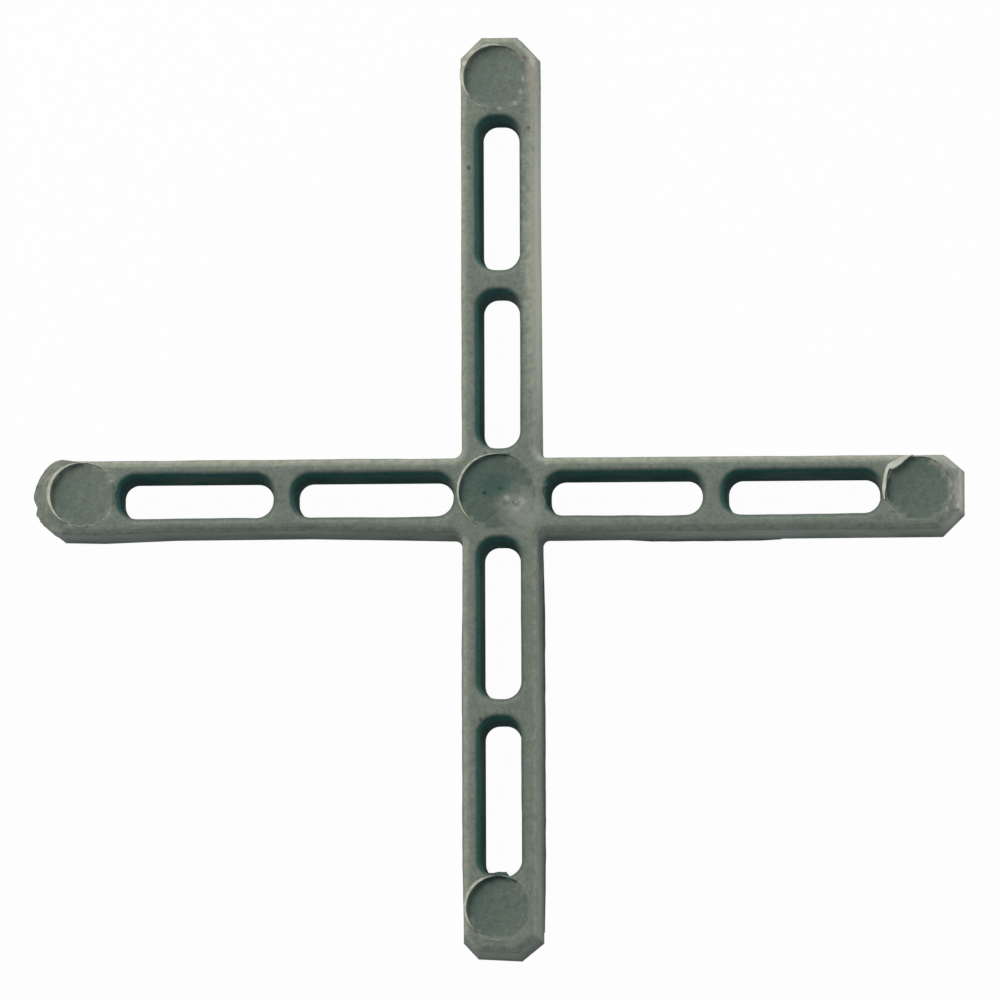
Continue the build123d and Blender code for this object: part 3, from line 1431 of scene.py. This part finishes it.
@dataclass
class Studio:
    """Pale floor, soft lamps and the camera."""

    height: float  # of the upper face, at which the camera looks
    distance: float = 2.2  # from the camera to that face
    lean_x: float = 2.8  # of the camera towards +X, in degrees
    lean_y: float = 5.0  # of the camera towards -Y, in degrees
    roll: float = 0.2  # by which the picture shows the cross turned to the left, in degrees
    field: float = 62.64 * MM  # width of the picture at the upper face
    aim: Spot = (0.04 * MM, -0.33 * MM)  # place on that face in the middle of the picture
    sensor: float = 36.0  # width, in millimetres
    paper: float = 4.0  # size of the floor
    gap: float = 0.02 * MM  # between the floor and the cross, so that they share no plane
    room: Colour = (0.27, 0.335, 0.345)  # light from all round
    lamps: tuple[Lamp, ...] = (
        Lamp("window", 132, 38, 0.5, 0.36, 2.2, (1.0, 0.95, 0.87)),
        Lamp("wall", 40, 14, 0.3, 0.14, 0.42, (1.0, 0.96, 0.9)),
    )

    def build(self) -> None:
        """Set up the camera, the floor and the light."""
        self.set_camera()
        floor = sheet(self.paper, self.paper, (0, 0, -self.gap), "floor")
        floor.data.materials.append(FloorPaper().material())
        self.light_room()
        for lamp in self.lamps:
            lamp.hang()
        bpy.context.scene.view_settings.view_transform = "Standard"

    def set_camera(self) -> None:
        """Place the camera above the cross."""
        data = bpy.data.cameras.new("camera")
        data.sensor_width = self.sensor
        data.lens = self.sensor * self.distance / self.field
        data.clip_start = self.distance / 100
        data.clip_end = self.distance * 10
        camera = bpy.data.objects.new("camera", data)
        bpy.context.scene.collection.objects.link(camera)
        back = Vector((tan(radians(self.lean_x)), -tan(radians(self.lean_y)), 1)).normalized()
        up = heading(90 - self.roll)
        right = up.cross(back).normalized()
        up = back.cross(right)
        place = Vector((*self.aim, self.height)) + back * self.distance
        camera.matrix_world = Matrix.Translation(place) @ Matrix((right, up, back)).transposed().to_4x4()
        bpy.context.scene.camera = camera

    def light_room(self) -> None:
        """Let light in from all round, and show the room white to the camera."""
        world = bpy.data.worlds.new("room")
        world.use_nodes = True
        graph = Graph(world.node_tree)
        shown = graph.blend(backdrop_share(graph), self.room, (1, 1, 1))
        graph.feed(world.node_tree.nodes["Background"].inputs["Color"], shown)
        bpy.context.scene.world = world


# This cross


STAINS_AND_LIGHT = (
    # Painted light in cream along the north arm's east side, and brown and cream near its tip
    StainAndLightSpot((2.6, 15.5, 2.5), (1.4, 17.0, 5.5), (0.44, 0.435, 0.37), 0.85),
    StainAndLightSpot((2.2, 26.2, 4.3), (0.6, 3.0, 1.6), (0.4, 0.34, 0.28), 0.5),
    StainAndLightSpot((2.35, 27.3, 4.2), (0.5, 0.6, 1.0), (0.6, 0.58, 0.5), 0.55),
    # Dark specks on the north and south arms
    StainAndLightSpot((1.66, 27.5, 4.5), (0.22, 0.2, 0.4), (0.15, 0.07, 0.045), 0.8),
    StainAndLightSpot((1.9, 23.1, 4.5), (0.2, 0.2, 0.4), (0.15, 0.06, 0.05), 0.8),
    StainAndLightSpot((-1.86, 20.6, 4.5), (0.17, 0.2, 0.4), (0.05, 0.045, 0.04), 0.85),
    StainAndLightSpot((-1.24, -14.1, 4.4), (0.2, 0.2, 0.4), (0.04, 0.045, 0.04), 0.8),
    # Dark and pale patches in the hub's dent; the broad dark one over its upper side is painted shade
    StainAndLightSpot((-0.25, 0.65, 4.4), (1.5, 1.1, 0.6), (0.045, 0.085, 0.082), 0.8),
    StainAndLightSpot((-0.95, 0.16, 4.4), (0.2, 0.18, 0.4), (0.02, 0.03, 0.028), 0.95),
    StainAndLightSpot((0.05, 0.42, 4.4), (0.24, 0.18, 0.4), (0.025, 0.045, 0.042), 0.9),
    StainAndLightSpot((1.35, -0.95, 4.4), (2.0, 1.7, 0.6), (0.25, 0.265, 0.232), 0.85),
    StainAndLightSpot((0.5, -0.2, 4.4), (0.3, 0.3, 0.4), (0.4, 0.4, 0.36), 0.6),
    StainAndLightSpot((1.42, -0.42, 4.4), (0.28, 0.3, 0.4), (0.42, 0.42, 0.38), 0.6),
    StainAndLightSpot((1.05, -0.9, 4.4), (0.4, 0.2, 0.4), (0.4, 0.4, 0.36), 0.5),
    # Painted light in cream on the ends of the arms, and a dark speck on the west one
    StainAndLightSpot((29.4, 0.3, 3.0), (1.2, 3.4, 4.5), (0.52, 0.49, 0.43), 0.75),
    StainAndLightSpot((28.85, -0.92, 4.3), (0.3, 0.35, 0.6), (0.62, 0.6, 0.53), 0.75),
    StainAndLightSpot((28.6, -1.9, 2.5), (1.2, 1.2, 4.5), (0.44, 0.42, 0.37), 0.8),
    StainAndLightSpot((27.9, 1.9, 4.4), (1.0, 0.7, 0.8), (0.33, 0.325, 0.285), 0.6),
    StainAndLightSpot((-27.6, 1.9, 4.4), (0.9, 0.6, 0.8), (0.33, 0.325, 0.28), 0.5),
    StainAndLightSpot((-1.7, 27.9, 4.4), (0.9, 0.9, 0.8), (0.32, 0.29, 0.24), 0.5),
    StainAndLightSpot((-27.4, -1.65, 4.5), (0.12, 0.1, 0.3), (0.05, 0.06, 0.055), 0.7),
    # Painted light on the south side of the east arm
    StainAndLightSpot((17.0, -2.6, 1.5), (14.0, 0.9, 4.0), (0.3, 0.315, 0.29), 0.6),
    # Pale flecks on the rims of the north and east dents
    StainAndLightSpot((1.55, 26.2, 4.4), (0.12, 0.3, 0.4), (0.4, 0.4, 0.36), 0.5),
    StainAndLightSpot((1.4, 25.4, 4.4), (0.14, 0.25, 0.4), (0.4, 0.4, 0.36), 0.55),
    StainAndLightSpot((1.05, 24.65, 4.4), (0.22, 0.2, 0.4), (0.4, 0.4, 0.36), 0.5),
    StainAndLightSpot((0.1, 24.3, 4.4), (0.3, 0.16, 0.4), (0.4, 0.4, 0.36), 0.5),
    StainAndLightSpot((28.3, 0.5, 4.4), (0.14, 0.4, 0.4), (0.42, 0.42, 0.37), 0.5),
    StainAndLightSpot((28.28, -0.35, 4.4), (0.14, 0.25, 0.4), (0.42, 0.42, 0.37), 0.6),
    StainAndLightSpot((28.05, -1.1, 4.4), (0.16, 0.3, 0.4), (0.42, 0.42, 0.37), 0.5),
)
FLASH_STAINS_AND_SHADE = (
    # Painted shade on the south flash, over the slot's end
    StainAndLightSpot((-0.1, -23.95, 4.5), (1.2, 0.45, 0.8), (0.06, 0.09, 0.085), 0.9),
    StainAndLightSpot((-0.9, -27.75, 4.5), (0.45, 0.3, 0.6), (0.42, 0.3, 0.25), 0.7),
)
BODY_PLASTIC = MouldedPlastic(stains_and_light=STAINS_AND_LIGHT)
FLASH_PLASTIC = MouldedPlastic(
    name="pin_flash_plastic",
    base=(0.34, 0.345, 0.295),
    worn_and_lit=(0.56, 0.555, 0.48),
    wear_and_highlight=0.95,
    blotch=0.7,
    stains_and_light=FLASH_STAINS_AND_SHADE,
)
THIN_FLASH = MouldedPlastic(
    name="thin_flash", base=(0.5, 0.49, 0.42), worn_and_lit=(0.66, 0.65, 0.57), wear_and_highlight=1.0, blotch=0.5, flecks=0.2
)
SPILL_PLASTIC = MouldedPlastic(name="spill_plastic", base=(0.2, 0.216, 0.18))
FIN_PLASTIC = MouldedPlastic(name="fin_plastic", base=(0.17, 0.185, 0.155), worn_and_lit=(0.3, 0.29, 0.25))
FINS = (
    Fin("south_arm_east", (2.55, -27.2), (2.55, -3.4), 0.1 * MM, 3),
    Fin("south_arm_west", (-2.55, -6.0), (-2.55, -26.5), 0.08 * MM, 5),
    Fin("east_arm_south", (8.0, -2.55), (17.5, -2.55), 0.11 * MM, 7),
    # The lip over the south slot's end takes painted shade
    Fin("south_slot", (0.6, -24.0), (-0.95, -24.0), 0.36 * MM, 13, 4.18 * MM, 0.26 * MM, 0.6),
)


def pin_marks() -> tuple[PinMark, ...]:
    """Lay out the five pin marks, which are a little out of line with the cross.

    Returns:
        The hub's mark and those of the arms from east to south.
    """
    off_x, off_y = -0.17 * MM, 0.2 * MM
    along, radius, depth, tilt = 26.2 * MM, 2.0 * MM, 0.14 * MM, 0.09 * MM
    # Name, place, radius, depth, tilt, angle and width of the flash, angle of the burr, painted shade
    return (
        PinMark("hub", off_x, off_y, 2.375 * MM, 0.09 * MM, 0.06 * MM, 158, 0.13 * MM, -35, 0.5),
        PinMark("east", along + 0.05 * MM, off_y, radius, depth, tilt, 150, 0.0, -20, 0.44),
        PinMark("north", off_x, along + 0.1 * MM, radius, depth, tilt, 148, 0.25 * MM, -50, 0.3),
        PinMark("west", -along, off_y, radius, depth, tilt, 166, 0.2 * MM, -50, 0.27),
        PinMark("south", off_x, -along + 0.25 * MM, radius, depth, tilt, 152, 0.18 * MM, -70, 0.36),
    )


def main() -> None:
    """Build every piece in order."""
    logging.basicConfig(level=logging.INFO, format="%(name)s %(message)s")
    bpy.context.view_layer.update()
    marks = pin_marks()
    hub, east, _, west, _ = marks
    cross = CrossBody(reach=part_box(NODE)[1].x, marks=marks)
    top = cross.wall.height
    finishes = [
        (cross, BODY_PLASTIC),
        *((PinScar(pin, top), FLASH_PLASTIC) for pin in marks),
        (TornFlap(east, top), THIN_FLASH),
        (GateScar(hub, top), BODY_PLASTIC),
        (EndSpill(west), SPILL_PLASTIC),
        *((fin, FIN_PLASTIC) for fin in FINS),
    ]
    for part, finish in finishes:
        for piece in part.build(finish):
            log.info("%s: %d faces", piece.name, len(piece.data.polygons))
    Studio(top).build()


if __name__ == "__main__":
    main()
